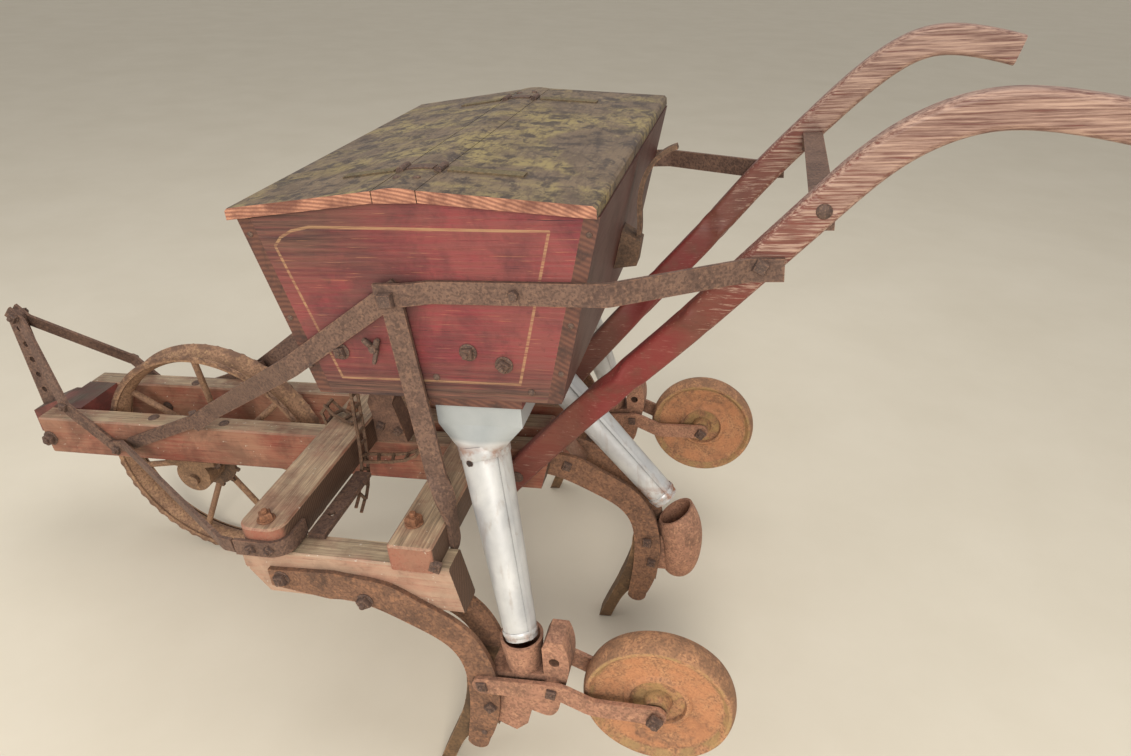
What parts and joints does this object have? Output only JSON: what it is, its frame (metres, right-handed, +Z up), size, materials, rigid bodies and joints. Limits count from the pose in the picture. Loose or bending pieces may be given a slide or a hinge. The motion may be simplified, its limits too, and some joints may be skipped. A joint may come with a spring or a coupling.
{
  "type": "horse-drawn planter",
  "caption": "Wooden-framed horse-drawn row planter with lidded seed hopper, tin seed spouts, curved shovel feet, iron wheels and plough handles.",
  "frame": {"origin": "on the floor under the centre of the bounding box", "axes": "+X the way it is pulled, +Y its left side, +Z up; it stands on the front wheel and the shovel tips, deck nose down 5.9 degrees"},
  "size_m": [1.858, 0.8624, 1.1273],
  "materials": {
    "frame_wood": "red-brown paint worn to grey grain",
    "hopper_paint": "worn crimson paint",
    "lid_wood": "weathered olive brown",
    "handle_paint": "red paint worn off at the grips",
    "strap_iron": "pitted brown rust",
    "cast_parts": "dull rust",
    "foot_iron": "orange brown rust",
    "wheel_iron": "ochre rust",
    "press_iron": "orange rust with dark edges",
    "tin_plate": "dull tinned sheet with rust at the ends"
  },
  "bodies": {
    "frame": {"rail_left": "frame_wood", "rail_right": "frame_wood", "side_beam_left": "frame_wood", "side_beam_right": "frame_wood", "centre_beam": "frame_wood", "cross_beam_front": "frame_wood", "cross_beam_rear": "frame_wood", "nose_block": "frame_wood", "hopper_end_left": "hopper_paint", "hopper_end_right": "hopper_paint", "hopper_board_front": "hopper_paint", "hopper_board_rear": "hopper_paint", "hopper_floor": "hopper_paint", "lid_ridge_strip": "lid_wood", "handle_left": "handle_paint", "handle_right": "handle_paint", "hitch_bar": "strap_iron", "hitch_brace_left": "strap_iron", "hitch_brace_right": "strap_iron", "corner_iron_left": "strap_iron", "corner_iron_right": "strap_iron", "front_brace_left": "strap_iron", "front_brace_right": "strap_iron", "strut_left": "strap_iron", "strut_right": "strap_iron", "stay_left": "strap_iron", "stay_right": "strap_iron", "handle_rung": "strap_iron", "tie_bar": "strap_iron", "bearing_left": "cast_parts", "bearing_right": "cast_parts", "hopper_stand_left": "cast_parts", "hopper_stand_right": "cast_parts", "feed_shaft": "cast_parts", "gate_lever": "cast_parts", "drive_chain": "cast_parts", "foot_bars_left": "foot_iron", "foot_bars_centre": "foot_iron", "foot_bars_right": "foot_iron", "shovel_left": "foot_iron", "shovel_centre": "foot_iron", "shovel_right": "foot_iron", "boot_left": "foot_iron", "boot_centre": "foot_iron", "boot_right": "foot_iron", "press_fork_left": "foot_iron", "press_fork_right": "foot_iron", "funnel_left": "tin_plate", "funnel_centre": "tin_plate", "funnel_right": "tin_plate", "spout_left": "tin_plate", "spout_centre": "tin_plate", "spout_right": "tin_plate"},
    "front_wheel": {"front_wheel": "wheel_iron", "wheel_sprocket": "cast_parts"},
    "press_wheel_left": {"press_wheel_left": "press_iron"},
    "press_wheel_right": {"press_wheel_right": "press_iron"},
    "lid_front": {"lid_front": "lid_wood"},
    "lid_rear": {"lid_rear": "lid_wood"}
  },
  "joints": [
    {"name": "front_wheel_spin", "type": "hinge", "parent": "frame", "child": "front_wheel", "pos_m": [0.48893, 0, 0.243], "axis": [0, 1, 0], "continuous": true},
    {"name": "press_wheel_left_spin", "type": "hinge", "parent": "frame", "child": "press_wheel_left", "pos_m": [-0.48556, 0.386, 0.23987], "axis": [0, 1, 0], "continuous": true},
    {"name": "press_wheel_right_spin", "type": "hinge", "parent": "frame", "child": "press_wheel_right", "pos_m": [-0.48556, -0.386, 0.23987], "axis": [0, 1, 0], "continuous": true},
    {"name": "lid_front_hinge", "type": "hinge", "parent": "frame", "child": "lid_front", "pos_m": [-0.06735, 0, 0.95969], "axis": [0, -1, 0], "range_deg": [0, 95]},
    {"name": "lid_rear_hinge", "type": "hinge", "parent": "frame", "child": "lid_rear", "pos_m": [-0.12703, 0, 0.96586], "axis": [0, 1, 0], "range_deg": [0, 95]}
  ]
}
